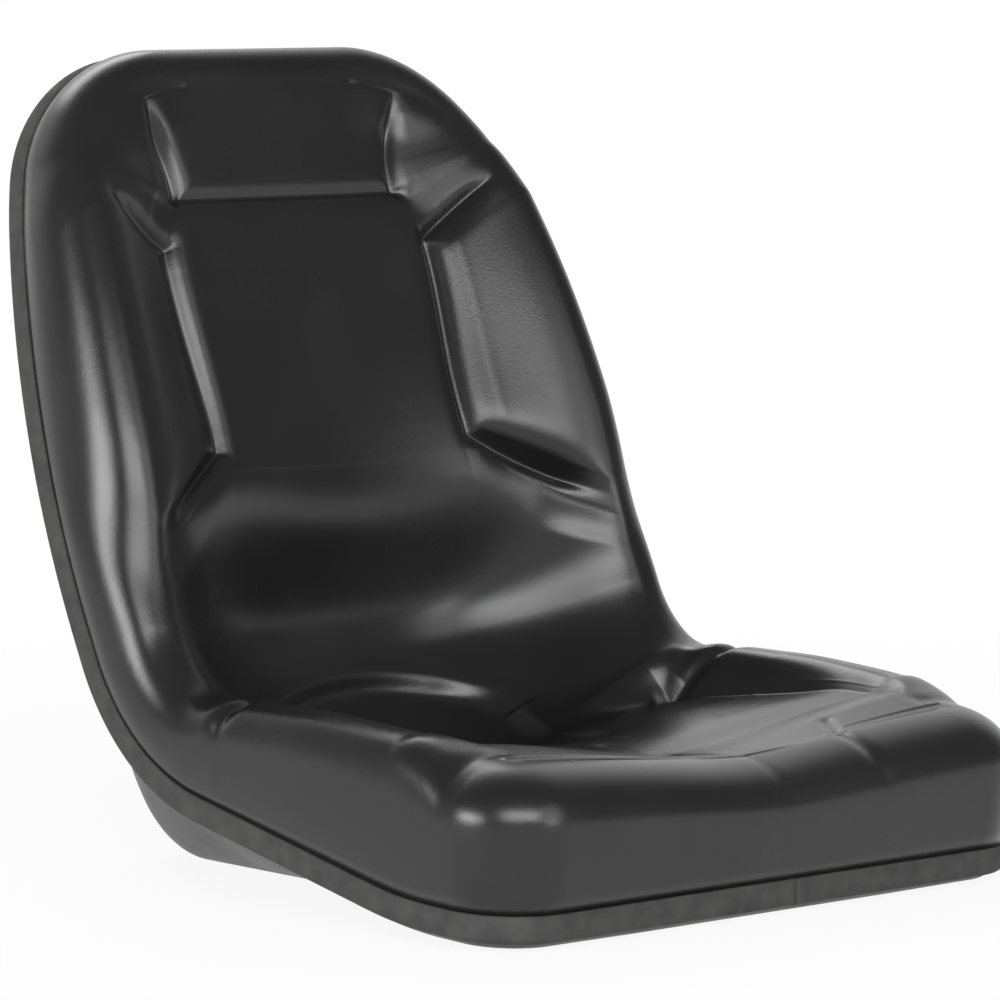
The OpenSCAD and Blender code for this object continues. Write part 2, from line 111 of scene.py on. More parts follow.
class Profile:
    """A side profile: (length, turn in degrees) pieces walked from a start (y, z) and heading."""

    def __init__(self, pieces, start, heading):
        self.lengths = np.array([p[0] for p in pieces], float)
        self.turns = np.radians([p[1] for p in pieces])
        self.start = start
        self.heading = math.radians(heading)
        self.marks = np.concatenate([[0], np.cumsum(self.lengths)])
        self.end = self.marks[-1]

    def distance(self, station):
        return np.interp(station, np.arange(len(self.marks)), self.marks)

    def station(self, distance):
        return np.interp(distance, self.marks, np.arange(len(self.marks)))

    def along(self, distance):
        """y, z and heading at distances along the profile, which runs on straight past its ends."""
        s = np.asarray(distance, float)
        before = np.minimum(s, 0)
        y = self.start[0] + before * math.cos(self.heading)
        z = self.start[1] + before * math.sin(self.heading)
        a = self.heading
        for length, turn, mark in zip(self.lengths, self.turns, self.marks):
            u = np.clip(s - mark, 0, length)
            if turn == 0:
                y, z = y + u * math.cos(a), z + u * math.sin(a)
            else:
                r, b = length / turn, a + turn * u / length
                y, z = y + r * (np.sin(b) - math.sin(a)), z + r * (math.cos(a) - np.cos(b))
            a += turn
        after = np.maximum(s - self.end, 0)
        turned = sum(
            turn * np.clip(s - mark, 0, length) / length
            for length, turn, mark in zip(self.lengths, self.turns, self.marks)
        )
        return y + after * math.cos(a), z + after * math.sin(a), self.heading + turned


BEND_TURN = BACK_LOW_ANGLE - THIGH_RISE
BACK_TURN = BACK_TOP_ANGLE - BACK_LOW_ANGLE
RIM = Profile(
    [
        (FRONT_RUN, 0),
        (FRONT_BEND, THIGH_RISE - RIM_HEADING),
        (THIGH_RUN - FRONT_BEND, 0),
        (BEND_R * math.radians(BEND_TURN), BEND_TURN),
        (BACK_RUN * 0.71, BACK_TURN * 0.2),
        (BACK_RUN * 0.29, BACK_TURN * 0.8),
    ],
    (-FRONT_REACH, FRONT_Z),
    RIM_HEADING,
)
at = RIM.distance


def ease(q):
    c = np.clip(q, 0, 1)
    return c * c * (3 - 2 * c)


def curve_at(pairs, t):
    """A curve through (station, value) pairs, level at both ends."""
    x, y = np.array(pairs, float).T
    m = np.zeros_like(y)
    m[1:-1] = (y[2:] - y[:-2]) / (x[2:] - x[:-2])
    t = np.clip(t, x[0], x[-1])
    i = np.clip(np.searchsorted(x, t, side="left") - 1, 0, len(x) - 2)
    h = x[i + 1] - x[i]
    q = (t - x[i]) / h
    return (
        y[i] * (1 + 2 * q) * (1 - q) ** 2
        + y[i + 1] * q * q * (3 - 2 * q)
        + h * m[i] * q * (1 - q) ** 2
        - h * m[i + 1] * q * q * (1 - q)
    )


SOFT_STEPS = np.linspace(-0.04, 0.04, 5)


def smooth_at(pairs, t):
    """The curve averaged over a short run, so that no reflection breaks at its points."""
    return sum(curve_at(pairs, t + step) for step in SOFT_STEPS) / len(SOFT_STEPS)


# Heights of the skin above the parting line, by station along the profile
MIDDLE_H = [
    (0.3, 78), (1, 74), (1.4, 70), (2.1, 59), (2.4, 47), (2.74, 28), (3, 12), (3.14, 3),
    (3.5, -14), (3.8, -29), (4.04, -33), (4.13, -18), (4.26, 14), (4.36, 24), (4.6, 34),
    (4.9, 42), (5.6, 42), (5.8, 41), (6, 38),
]
VALLEY_RISE = [
    (0.3, 10), (1, 22), (1.4, 27), (2.1, 25), (2.4, 18), (2.9, 16), (3.2, 18), (3.7, 22),
    (4.2, 18), (4.6, 5), (5, 1),
]
CREST_H = [
    (0.3, 88), (1, 97), (1.8, 101), (2.4, 89), (2.74, 77), (3, 67), (3.25, 58), (3.5, 55),
    (4.05, 56), (4.17, 62), (4.3, 71), (4.45, 77), (4.75, 78), (5.08, 69), (5.33, 60),
    (5.6, 49), (5.8, 41), (6, 38),
]
VALLEY_HALF_W = [
    (1, 198), (2.6, 196), (3.2, 186), (3.9, 146), (4.42, 117), (4.91, 121), (5.08, 101),
    (5.78, 116), (6, 116),
]
WING_LATENESS = [(1, 1), (3, 1), (3.6, 1.4), (4.2, 2.4), (4.7, 1.8), (5.4, 1.4)]
LEAST_WING = 12

# Across the front of the seat the rise is round in the middle and eases off toward the valley
DISH_ROUND = 0.25
DISH_EASE = 1.7
DISH_EASE_SHARE = 0.5
DISH_FROM = 3
DISH_FULL = 2.4

# The bowl and the top of the back are one curve from the middle to the crest, without a valley
BOWL_FROM = at(3)
BOWL_FULL = at(3.3)
BOWL_LATENESS = 3.4
BOWL_END_BEFORE_PANEL = 8
BOWL_END_RUN = 52
CROWN_FROM = at(5.4)
CROWN_FULL = at(5.6)

# A side panel rises straight across the wing and levels off at its outer edge
PANEL_STRAIGHT = 0.88
PANEL_TURN = 12
PANEL_BLEND = 20

# The channels round the side panels and the head panel
PANEL_LOW = at(4.42)
PANEL_TOP = at(4.91)
HEAD_LOW = at(5.08)
HEAD_FADE = at(5.82)
HEAD_FADE_RUN = 45
# The channel below the head panel is shallower than the others
HEAD_FOOT = 0.6
LOW_SLANT = -69
TOP_SLANT = 47
ROW_BEND = [(at(3.8), 0), (PANEL_LOW, LOW_SLANT), (PANEL_TOP, TOP_SLANT), (at(5.5), 0)]

# The sunken panel at the low point of the seat
SINK_MID = at(3.49)
SINK_HALF_W = 102
SINK_BACK = 45
SINK_FRONT = 155
SINK_FRONT_HALF_W = 62
SINK_WALL_FROM = 0.93
SINK_SIDE_WALL = 0.14
SINK_FRONT_WALL = 0.4
# The wall behind is steeper than at the sides, and the panel is deeper there
SINK_BACK_WALL = 0.26
SINK_BACK_DEEPER = 1.5

# Creases from one (x, distance) to another, with their half width and depth
CREASES_ON_BOTH_SIDES = (
    ((196, 62), (222, 56), 6, 2),
    ((182, at(3.04)), (224, at(2.9)), 6, 6),
)
CREASES_ON_ONE_SIDE = (
    ((4, 186), (4, 50), 5, 2.5),
    ((112, 72), (92, 42), 5, 2),
    ((-172, 112), (-206, 132), 5, 3),
)

# The outline of the parting line on the unrolled seat
SIDE_TO = RIM.end - TOP_CORNER_R * (1 - math.sin(SHOULDER_LEAN))
NARROW_RUN = 2 * (THIGH_HALF_W - SHOULDER_HALF_W) / math.tan(SHOULDER_LEAN)
BESIDE_CHANNEL = 2 * CHANNEL_HALF_W
SIDE_MARKS = (
    FRONT_CORNER_R, at(2.6), at(4), PANEL_LOW - BESIDE_CHANNEL, PANEL_LOW + BESIDE_CHANNEL,
    PANEL_TOP - BESIDE_CHANNEL, PANEL_TOP + BESIDE_CHANNEL, HEAD_LOW + BESIDE_CHANNEL, SIDE_TO,
)
# Rows of the construction in the front arc, in each stretch of the side and in the top arc
FRONT_ARC_ROWS = 5
SIDE_ROWS = (10, 12, 7, 4, 7, 4, 6, 2)
TOP_ARC_ROWS = 7
# How many rows of the shown mesh go to one of those: more round the sunken panel
REFINE = 5
SIDE_REFINE = (REFINE, 8, REFINE, REFINE, REFINE, REFINE, REFINE, REFINE)
SIDE_ROW_MARKS = FRONT_ARC_ROWS + np.concatenate([[0], np.cumsum(SIDE_ROWS)])


def row_numbers():
    """The construction's row number of each shown row, a fraction between its rows."""
    counts = (FRONT_ARC_ROWS, *SIDE_ROWS, TOP_ARC_ROWS)
    finer = (REFINE, *SIDE_REFINE, REFINE)
    steps = [np.full(count * k, 1 / k) for count, k in zip(counts, finer)]
    return np.concatenate([[0], np.cumsum(np.concatenate(steps))])


def outline_rows(row):
    """Rows of (x, distance, outward x, outward distance) at the outline's right side."""
    k = math.pi / 2 * np.clip(row / FRONT_ARC_ROWS, 0, 1)
    front = (
        THIGH_HALF_W - FRONT_CORNER_R * (1 - np.sin(k)), FRONT_CORNER_R * (1 - np.cos(k)),
        np.sin(k), -np.cos(k),
    )
    s = np.interp(row, SIDE_ROW_MARKS, SIDE_MARKS)
    n = np.maximum(0, s - SIDE_TO + NARROW_RUN) / NARROW_RUN
    lean = np.arctan(math.tan(SHOULDER_LEAN) * n)
    side = (
        THIGH_HALF_W - (THIGH_HALF_W - SHOULDER_HALF_W) * n**2, s, np.cos(lean), np.sin(lean),
    )
    past = np.clip((row - SIDE_ROW_MARKS[-1]) / TOP_ARC_ROWS, 0, 1)
    a = SHOULDER_LEAN + (math.pi / 2 - SHOULDER_LEAN) * past
    top = (
        SHOULDER_HALF_W - TOP_CORNER_R * (math.cos(SHOULDER_LEAN) - np.cos(a)),
        RIM.end - TOP_CORNER_R * (1 - np.sin(a)), np.cos(a), np.sin(a),
    )
    ahead, behind = row < FRONT_ARC_ROWS, row > SIDE_ROW_MARKS[-1]
    return np.stack([np.where(ahead, f, np.where(behind, t, m)) for f, m, t in zip(front, side, top)], 1)


ROW_NUMBERS = row_numbers()
OUTLINE = outline_rows(ROW_NUMBERS)
ROWS = len(OUTLINE) - 1

# Columns from 0 in the middle to 1 at the valley and 2 at the wing's crest
COLUMN_MARKS = (0, 0.75, 0.92, 1, 1.25, 2)
COLUMN_COUNTS = (38, 8, 8, 14, 22)
HALF_COLUMNS = np.interp(
    np.arange(1, sum(COLUMN_COUNTS) + 1), np.concatenate([[0], np.cumsum(COLUMN_COUNTS)]), COLUMN_MARKS
)
COLUMNS = np.concatenate([-HALF_COLUMNS[::-1], [0], HALF_COLUMNS])
COLS = len(COLUMNS) - 1


def on_seat(x, s, h):
    """Points at x across and s along the unrolled seat, h above the parting line."""
    y, z, a = RIM.along(s)
    return np.stack(np.broadcast_arrays(x, y - h * np.sin(a), z + h * np.cos(a)), -1)


def skin_place(c, s0, end):
    """Where column c of the row at distance s0 lies on the unrolled seat."""
    v = np.minimum(smooth_at(VALLEY_HALF_W, RIM.station(s0)), end - LEAST_WING)
    a = np.abs(c)
    x = np.where(a < 1, a * v, v + (a - 1) * (end - v))
    return np.sign(c) * x, s0 + np.maximum(0, a - 1) * smooth_at(ROW_BEND, s0)


def near(d):
    """Closeness to a channel: 1 in it, 0 beside it, with a fold along its bottom."""
    return np.exp(-((np.abs(d) / CHANNEL_HALF_W) ** CHANNEL_FOLD))


def slanting(s, a, inner, s0, slant, fade):
    """Closeness to a channel that slants across the wing from distance s0."""
    d = (s - s0 - (a - 1) * slant) * math.cos(math.atan(slant / WING_W))
    return near(np.hypot(inner, d)) * ease((fade - a) / 0.4)


def channels(x, s, a, s0, v):
    out = np.maximum(0, np.abs(x) - v)
    inner = np.maximum(0, v - np.abs(x))
    panel = np.maximum(0, np.maximum(PANEL_LOW - s0, s0 - PANEL_TOP))
    head = np.maximum(0, HEAD_LOW - s0)
    return np.maximum.reduce(
        [
            near(np.hypot(out + inner, panel)),
            near(np.hypot(out + inner, head)) * ease((HEAD_FADE - s0) / HEAD_FADE_RUN),
            HEAD_FOOT * near(np.hypot(out, s0 - HEAD_LOW)),
            slanting(s, a, inner, PANEL_LOW, LOW_SLANT, 1.95),
            slanting(s, a, inner, PANEL_TOP, TOP_SLANT, 1.9),
        ]
    )


def crease(x, s, start, end, half_width):
    """Closeness to a crease: 1 in it, 0 beside it."""
    v = np.subtract(end, start)
    wx, ws = x - start[0], s - start[1]
    k = np.clip((wx * v[0] + ws * v[1]) / (v @ v), 0, 1)
    return np.exp(-((np.hypot(wx - k * v[0], ws - k * v[1]) / half_width) ** 2))


def creases(x, s):
    """How deep the creases are at a place on the seat."""
    both = [depth * crease(np.abs(x), s, p, q, w) for p, q, w, depth in CREASES_ON_BOTH_SIDES]
    one = [depth * crease(x, s, p, q, w) for p, q, w, depth in CREASES_ON_ONE_SIDE]
    return sum(both + one)


def sink(x, s):
    """Closeness to the sunken panel: a half ellipse behind, drawn in toward the front."""
    reach = np.hypot(x / SINK_HALF_W, (s - SINK_MID) / SINK_BACK)
    behind = SINK_BACK_DEEPER * (1 - ease((reach - SINK_WALL_FROM) / SINK_BACK_WALL))
    q = (SINK_MID - s) / SINK_FRONT
    wide = SINK_HALF_W + (SINK_FRONT_HALF_W - SINK_HALF_W) * q
    ahead = 1 - ease((np.abs(x) / wide - SINK_WALL_FROM) / SINK_SIDE_WALL)
    ahead = ahead * ease((1 + SINK_FRONT_WALL / 4 - q) / SINK_FRONT_WALL)
    ahead = ahead * (1 + (SINK_BACK_DEEPER - 1) * ease(1 - 2 * q))
    return np.where(s > SINK_MID, behind, ahead)


def dish(q, t):
    """Rise from the middle of the seat, 0, to the valley, 1, at share q of the way."""
    full = math.hypot(1, DISH_ROUND) - DISH_ROUND
    k = (np.hypot(q, DISH_ROUND) - DISH_ROUND) / full
    front = (1 - DISH_EASE_SHARE) * k + DISH_EASE_SHARE * (1 - (1 - k) ** DISH_EASE)
    share = ease((DISH_FROM - t) / (DISH_FROM - DISH_FULL))
    return q**2 + (front - q**2) * share


def wing_rise(q, s0, t):
    """Rise from the valley, 0, to the wing's crest, 1, at share q of the way."""
    round_rise = np.sin(math.pi / 2 * q ** smooth_at(WING_LATENESS, t))
    k, edge = q / PANEL_STRAIGHT, 1 / PANEL_STRAIGHT
    panel_rise = k / (1 + k**PANEL_TURN) ** (1 / PANEL_TURN)
    panel_rise = panel_rise / (edge / (1 + edge**PANEL_TURN) ** (1 / PANEL_TURN))
    share = ease((s0 - PANEL_LOW) / PANEL_BLEND) * ease((PANEL_TOP - s0) / PANEL_BLEND)
    return round_rise + (panel_rise - round_rise) * share


def one_curve_share(s0):
    """How far a row is one curve from middle to crest: all of it in the bowl and at the top."""
    end = PANEL_LOW - BOWL_END_BEFORE_PANEL
    bowl = ease((s0 - BOWL_FROM) / (BOWL_FULL - BOWL_FROM)) * ease((end - s0) / BOWL_END_RUN)
    return bowl + ease((s0 - CROWN_FROM) / (CROWN_FULL - CROWN_FROM))


def broad_height(s0, x, s, crest_x):
    """Height of the broad form above the parting line, in a row that ends at crest_x."""
    t = RIM.station(s)
    v = np.minimum(smooth_at(VALLEY_HALF_W, RIM.station(s0)), crest_x - LEAST_WING)
    a = np.abs(x)
    middle, crest = smooth_at(MIDDLE_H, t), smooth_at(CREST_H, t)
    valley = middle + smooth_at(VALLEY_RISE, t) * dish(np.minimum(1, a / v), t)
    folded = valley + (crest - valley) * wing_rise(np.clip((a - v) / (crest_x - v), 0, 1), s0, t)
    curve = np.sin(math.pi / 2 * np.clip(a / crest_x, 0, 1) ** BOWL_LATENESS)
    return folded + (middle + (crest - middle) * curve - folded) * one_curve_share(s0)


def detail_depth(c, s0, x, s, crest_x):
    """How far channels, creases and the sunken panel go down into the broad form."""
    v = np.minimum(smooth_at(VALLEY_HALF_W, RIM.station(s0)), crest_x - LEAST_WING)
    return (
        CHANNEL_DEPTH * channels(x, s, np.maximum(1, np.abs(c)), s0, v)
        + creases(x, s)
        + SINK_DEPTH * sink(x, s)
    )


def rounded(h, passes):
    """A grid of heights with its folds rounded and its four edges as they were."""
    for _ in range(passes):
        inner = h[1:-1, 1:-1]
        beside = h[:-2, 1:-1] + h[2:, 1:-1] + h[1:-1, :-2] + h[1:-1, 2:]
        h = h.copy()
        h[1:-1, 1:-1] = (4 * inner + beside) / 8
    return h


def loop_places(n, m):
    """Rows and columns of the loop around a grid of n by m cells."""
    first = [(0, j) for j in range(m)] + [(i, m) for i in range(n)]
    return np.array(first + [(n, j) for j in range(m, 0, -1)] + [(i, 0) for i in range(n, 0, -1)])


LOOP = loop_places(ROWS, COLS)


def roll_width(i):
    along = OUTLINE[i, 1] / (2 * FRONT_CORNER_R) - 0.5
    return ROLL_W + (FRONT_ROLL_W - ROLL_W) * (1 - ease(along))


def row_facts(i):
    """Where the skin ends in rows i, and their distance along the seat."""
    o = OUTLINE[i]
    return o[..., 0] - o[..., 2] * roll_width(i), o[..., 1] - o[..., 3] * roll_width(i)


ROUNDING_PASSES = 14


def skin_points():
    i = np.arange(ROWS + 1)[:, None]
    end, s0 = row_facts(i)
    c = COLUMNS[None, :]
    x, s = skin_place(c, s0, end)
    broad = broad_height(s0, x, s, end)
    # Where the seat is one curve there is no fold to round
    broad = broad + (rounded(broad, ROUNDING_PASSES) - broad) * (1 - one_curve_share(s0))
    return on_seat(x, s, broad - detail_depth(c, s0, x, s, end))


ROLL_RINGS = 18
# The wall takes the last quarter of the rings, from its widest line down
ARC_RINGS = ROLL_RINGS * 3 // 4
# The edge is widest at this share of its height, and its shoulder is squarer below a power of 1
WIDEST = [(0.6, 0.6), (1.2, 0.5), (2.9, 0.5), (3.6, 0.34)]
SHOULDER_POWER = [(0.6, 1), (1.2, 0.66), (2.9, 0.66), (3.6, 0.8)]


def roll_points(k):
    """Loop k of the cushion's rolled edge, from its crest out and down to the parting line."""
    i, j = LOOP.T
    end, s0 = row_facts(i)
    wide = roll_width(i)
    c = COLUMNS[j]
    x, s = skin_place(c, s0, end)
    h = broad_height(s0, x, s, end) - detail_depth(c, s0, x, s, end)
    t = RIM.station(s0)
    widest, power = smooth_at(WIDEST, t), smooth_at(SHOULDER_POWER, t)
    if k <= ARC_RINGS:
        a = math.pi / 2 * k / ARC_RINGS
        inward = wide - (wide + WALL_BULGE) * math.sin(a) ** power
        share = widest + (1 - widest) * max(0.0, math.cos(a)) ** power
    else:
        q = (k - ARC_RINGS) / (ROLL_RINGS - ARC_RINGS)
        inward = -WALL_BULGE * (1 - q * q) + 0 * wide
        share = widest * (1 - q)
    out = wide - inward
    side = np.where(j == 0, -1, np.where(j == COLS, 1, 0))
    bend = (s - s0) * (1 - k / ROLL_RINGS)
    o = OUTLINE[i]
    return on_seat(x + o[:, 2] * side * out, s0 + bend + o[:, 3] * out, h * share)


def rim_points(inward, h):
    """The loop of the outline moved inward, at a height on the seat."""
    i, j = LOOP.T
    o = OUTLINE[i]
    x = (o[:, 0] - o[:, 2] * inward) * COLUMNS[j] / 2
    return on_seat(x, o[:, 1] - o[:, 3] * inward, h)


# The pan's sheet, from its own profile
PAN_TURN_IN = 12
PAN_TURN_H = PAN_EDGE_H + 5
PAN_FLAT = 0.53
PAN_FLOOR = FRONT_REACH + 155
PAN_BACK_LEAN = 78
PAN_BACK = BACK_RUN * 0.56
PAN = Profile(
    [
        (PAN_FLOOR, 0),
        (PAN_BEND_R * math.radians(BACK_TOP_ANGLE), BACK_TOP_ANGLE),
        (PAN_BACK, PAN_BACK_LEAN - BACK_TOP_ANGLE),
        (PAN_BACK, BACK_TOP_ANGLE - PAN_BACK_LEAN),
    ],
    (-FRONT_REACH + PAN_TURN_IN, 0),
    0,
)
# The pan's rows, each of two rows of the construction's cushion, where its pieces end
PAN_ROW_MARKS = (0, 11, 15, 23, 32)
PAN_FRONT_RUN = 0.7 * FRONT_CORNER_R
PAN_TOP_RUN = 0.8 * TOP_CORNER_R
SWAGE_AT = 0.34
SWAGE_HALF = 0.11
SWAGE_FROM = 4.1
SWAGE_TO = 5.6
SWAGE_END = 0.2


def pan_grid(by, step):
    """The pan's sheet, moved toward the sitter by a distance, at every so many rows and columns."""
    o = OUTLINE[:, None, :]
    a = (COLUMNS / 2)[None, :]
    x = (o[..., 0] - o[..., 2] * PAN_TURN_IN) * a
    s = o[..., 1] - o[..., 3] * PAN_TURN_IN
    t = RIM.station(s)
    edge = on_seat(x, s + 0 * a, -PAN_TURN_H)
    ends = ease(s / PAN_FRONT_RUN) * ease((RIM.end - s) / PAN_TOP_RUN)
    share = ends * (1 - ease((np.abs(a) - PAN_FLAT) / (1 - PAN_FLAT)))
    place = np.interp(ROW_NUMBERS[:, None] / 2, PAN_ROW_MARKS, PAN.marks)
    y, z, _ = PAN.along(place)
    middle = np.stack(np.broadcast_arrays(0 * x, y, z), -1)
    flat = np.stack([0 * x, edge[..., 1], edge[..., 2]], -1)
    out = on_seat(0 * s, s, -1) - on_seat(0 * s, s, 0)
    swage = SWAGE_H * ease(1 - np.abs(np.abs(a) - SWAGE_AT) / SWAGE_HALF)
    swage = swage * ease((t - SWAGE_FROM) / SWAGE_END) * ease((SWAGE_TO - t) / SWAGE_END)
    points = edge + share[..., None] * (middle - flat) + swage[..., None] * out
    down, across = np.gradient(points, axis=0), np.gradient(points, axis=1)
    normal = np.cross(across, down)
    points = points + by * normal / np.linalg.norm(normal, axis=-1, keepdims=True)
    return points[::step, ::step].reshape(-1, 3)


def grid_faces(base, step=1):
    """Faces of a grid of every so many rows and columns, whose points start at base."""
    n, m = ROWS // step, COLS // step
    a = base + np.arange(n)[:, None] * (m + 1) + np.arange(m)[None, :]
    b = a + m + 1
    return np.stack([a, a + 1, b + 1, b], -1).reshape(-1, 4).tolist()


def grid_loop(base, step=1):
    """The points round such a grid, in the order of its rim."""
    n, m = ROWS // step, COLS // step
    i, j = loop_places(n, m).T
    return base + i * (m + 1) + j


def band(p, q):
    """Faces between a loop and one beside it that has as many points, or every so many of them."""
    step = len(p) // len(q)
    k = np.arange(len(q))[:, None] * step + np.arange(step + 1)
    return np.concatenate([p[k % len(p)], np.roll(q, -1)[:, None], q[:, None]], 1).tolist()


def make_mesh(name, points, faces, body="root"):
    """An object from points in millimetres, smooth, that rides on a body."""
    mesh = bpy.data.meshes.new(name)
    mesh.from_pydata((points * METRE).tolist(), [], faces)
    form = bmesh.new()
    form.from_mesh(mesh)
    bmesh.ops.remove_doubles(form, verts=form.verts, dist=WELD)
    bmesh.ops.recalc_face_normals(form, faces=form.faces)
    form.to_mesh(mesh)
    form.free()
    mesh.shade_smooth()
    piece = bpy.data.objects.new(name, mesh)
    bpy.context.scene.collection.objects.link(piece)
    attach(piece, body)
    return piece


def cut(piece, tools):
    """Takes round tools out of a piece: (x, y, from z, to z, diameter), all in millimetres."""
    form = bmesh.new()
    for x, y, low, high, d in tools:
        r = d / 2 * METRE
        middle = Matrix.Translation(Vector((x, y, (low + high) / 2)) * METRE)
        bmesh.ops.create_cone(form, cap_ends=True, segments=64, radius1=r, radius2=r,
                              depth=(high - low) * METRE, matrix=middle)
    mesh = bpy.data.meshes.new("tools")
    form.to_mesh(mesh)
    form.free()
    tool = bpy.data.objects.new("tools", mesh)
    bpy.context.scene.collection.objects.link(tool)
    modifier = piece.modifiers.new("holes", "BOOLEAN")
    modifier.operation, modifier.object, modifier.solver = "DIFFERENCE", tool, "EXACT"
    bpy.context.view_layer.objects.active = piece
    bpy.ops.object.modifier_apply(modifier=modifier.name)
    bpy.data.objects.remove(tool)
    bpy.data.meshes.remove(mesh)


BOLTS = [(x * BOLT_SPAN[0], y * BOLT_SPAN[1]) for x in (-0.5, 0.5) for y in (-0.5, 0.5)]
STRIP_IN = STRIP_WALL + FIT + SHEET + FIT
LEDGE_IN = STRIP_IN + STRIP_LIP + FIT
LEDGE_LOW = PAN_EDGE_H - 2
# The cushion's underside is hidden, so it takes every fourth row and column, clear of the pan
UNDER_STEP = 4
UNDER_CLEAR = 0.8
NUT_CLEAR = 1.5
# How far a tool reaches past the faces that it cuts
PAST = 5
SEAT_TOP = 150


def make_cushion():
    rings = [roll_points(k) for k in range(1, ROLL_RINGS + 1)]
    rings += [rim_points(LEDGE_IN, 0), rim_points(LEDGE_IN, -LEDGE_LOW)]
    skin = skin_points().reshape(-1, 3)
    size, under = len(LOOP), len(skin) + len(rings) * len(LOOP)
    loops = [grid_loop(0)] + [len(skin) + k * size + np.arange(size) for k in range(len(rings))]
    loops.append(grid_loop(under, UNDER_STEP))
    faces = grid_faces(0) + grid_faces(under, UNDER_STEP)
    for p, q in zip(loops, loops[1:]):
        faces += band(p, q)
    points = np.concatenate([skin, *rings, pan_grid(SHEET + UNDER_CLEAR, UNDER_STEP)])
    piece = make_mesh("cushion_moulding", points, faces)
    pocket = NUT_AF / math.cos(math.radians(30)) + 2 * NUT_CLEAR
    tools = [(x, y, -PAST, SHEET + NUT_H + NUT_CLEAR, pocket) for x, y in BOLTS]
    cut(piece, tools + [(0, DRAIN_Y, -PAST, SEAT_TOP, DRAIN_D)])
    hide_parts("cushion")
    return piece


EDGE_IN = STRIP_WALL + FIT
EDGE_TOP = FIT + STRIP_LIP + FIT
PAN_STEP = 2


def make_pan():
    outer, inner = EDGE_IN, EDGE_IN + SHEET
    lips = [rim_points(a, -h)[::PAN_STEP] for a in (outer, inner) for h in (EDGE_TOP, PAN_EDGE_H)]
    size = len(lips[0])
    lip = [k * size + np.arange(size) for k in range(4)]
    sheets = [pan_grid(by, PAN_STEP) for by in (0, SHEET)]
    outside = 4 * size
    inside = outside + len(sheets[0])
    faces = grid_faces(outside, PAN_STEP) + grid_faces(inside, PAN_STEP)
    faces += band(lip[0], lip[1]) + band(lip[1], grid_loop(outside, PAN_STEP))
    faces += band(lip[2], lip[3]) + band(lip[3], grid_loop(inside, PAN_STEP)) + band(lip[2], lip[0])
    piece = make_mesh("pan_pressing", np.concatenate([*lips, *sheets]), faces)
    holes = [(x, y, -PAST, SHEET + PAST, BOLT_HOLE_D) for x, y in BOLTS]
    cut(piece, holes + [(0, DRAIN_Y, -PAST, SHEET + PAST, DRAIN_D + 2)])
    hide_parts("seat_pan")
    return piece


STRIP_PROUD = 1
STRIP_ROUND = 4.5


def strip_section():
    """The strip's section as (inward, height): a channel pushed down over the pan's edge."""
    corner = [
        (-STRIP_PROUD + STRIP_ROUND * (1 - math.cos(a)), -STRIP_H + STRIP_ROUND * (1 - math.sin(a)))
        for a in np.linspace(math.pi / 2, 0, 8)
    ]
    top = [
        (-STRIP_PROUD, -FIT - 0.8), (-STRIP_PROUD + 0.8, -FIT),
        (STRIP_IN + STRIP_LIP, -FIT), (STRIP_IN + STRIP_LIP, -PAN_EDGE_H * 0.6),
        (STRIP_IN, -PAN_EDGE_H * 0.6), (STRIP_IN, -FIT - STRIP_LIP),
        (STRIP_WALL, -FIT - STRIP_LIP), (STRIP_WALL, -STRIP_H),
    ]
    return top + corner


def make_strip():
    section = strip_section()
    m = len(section)
    loops = np.stack([rim_points(c[0], c[1]) for c in section], 1)
    front = COLUMNS / 2 * OUTLINE[0, 0]
    right = int(np.argmax(front > STRIP_JOINT_X + 4))
    closing = int(np.sum(front < STRIP_JOINT_X - 4))

    def end(x):
        return np.stack([on_seat(x, c[0], c[1]) for c in section], 0)[None]

    rings = np.concatenate(
        [end(STRIP_JOINT_X + STRIP_JOINT_GAP / 2), loops[right:], loops[:closing],
         end(STRIP_JOINT_X - STRIP_JOINT_GAP / 2)]
    )
    n = len(rings)
    k = np.arange(m)
    faces = []
    for i in range(n - 1):
        faces += band(i * m + k, (i + 1) * m + k)
    faces += [list(k), list((n - 1) * m + k)]
    piece = make_mesh("edge_strip_rubber", rings.reshape(-1, 3), faces)
    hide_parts("edge_strip")
    return piece


def node_material(name):
    material = bpy.data.materials.new(name)
    material.use_nodes = True
    tree = material.node_tree
    return material, tree, tree.nodes["Principled BSDF"]


def add(tree, kind, links=(), **values):
    """A node with its plain values set, and (input, output socket) links made."""
    made = tree.nodes.new(kind)
    for key, value in values.items():
        if hasattr(made, key):
            setattr(made, key, value)
        else:
            made.inputs[key.replace("_", " ")].default_value = value
    for target, source in links:
        tree.links.new(source, made.inputs[target])
    return made


def mottled(tree, place, scale, low, high):
    """A value that wanders between low and high over the surface."""
    noise = add(tree, "ShaderNodeTexNoise", [("Vector", place)], Scale=scale, Detail=3.0)
    spread = add(tree, "ShaderNodeMapRange", [("Value", noise.outputs["Fac"])], From_Min=0.3,
                 From_Max=0.7, To_Min=low, To_Max=high)
    return spread.outputs["Result"]


def tinted(tree, place, scale, dark, light):
    """A colour that wanders between two tones over the surface."""
    share = mottled(tree, place, scale, 0.0, 1.0)
    ramp = add(tree, "ShaderNodeValToRGB", [("Fac", share)])
    ramp.color_ramp.elements[0].color = (*dark, 1)
    ramp.color_ramp.elements[1].color = (*light, 1)
    return ramp.outputs["Color"]


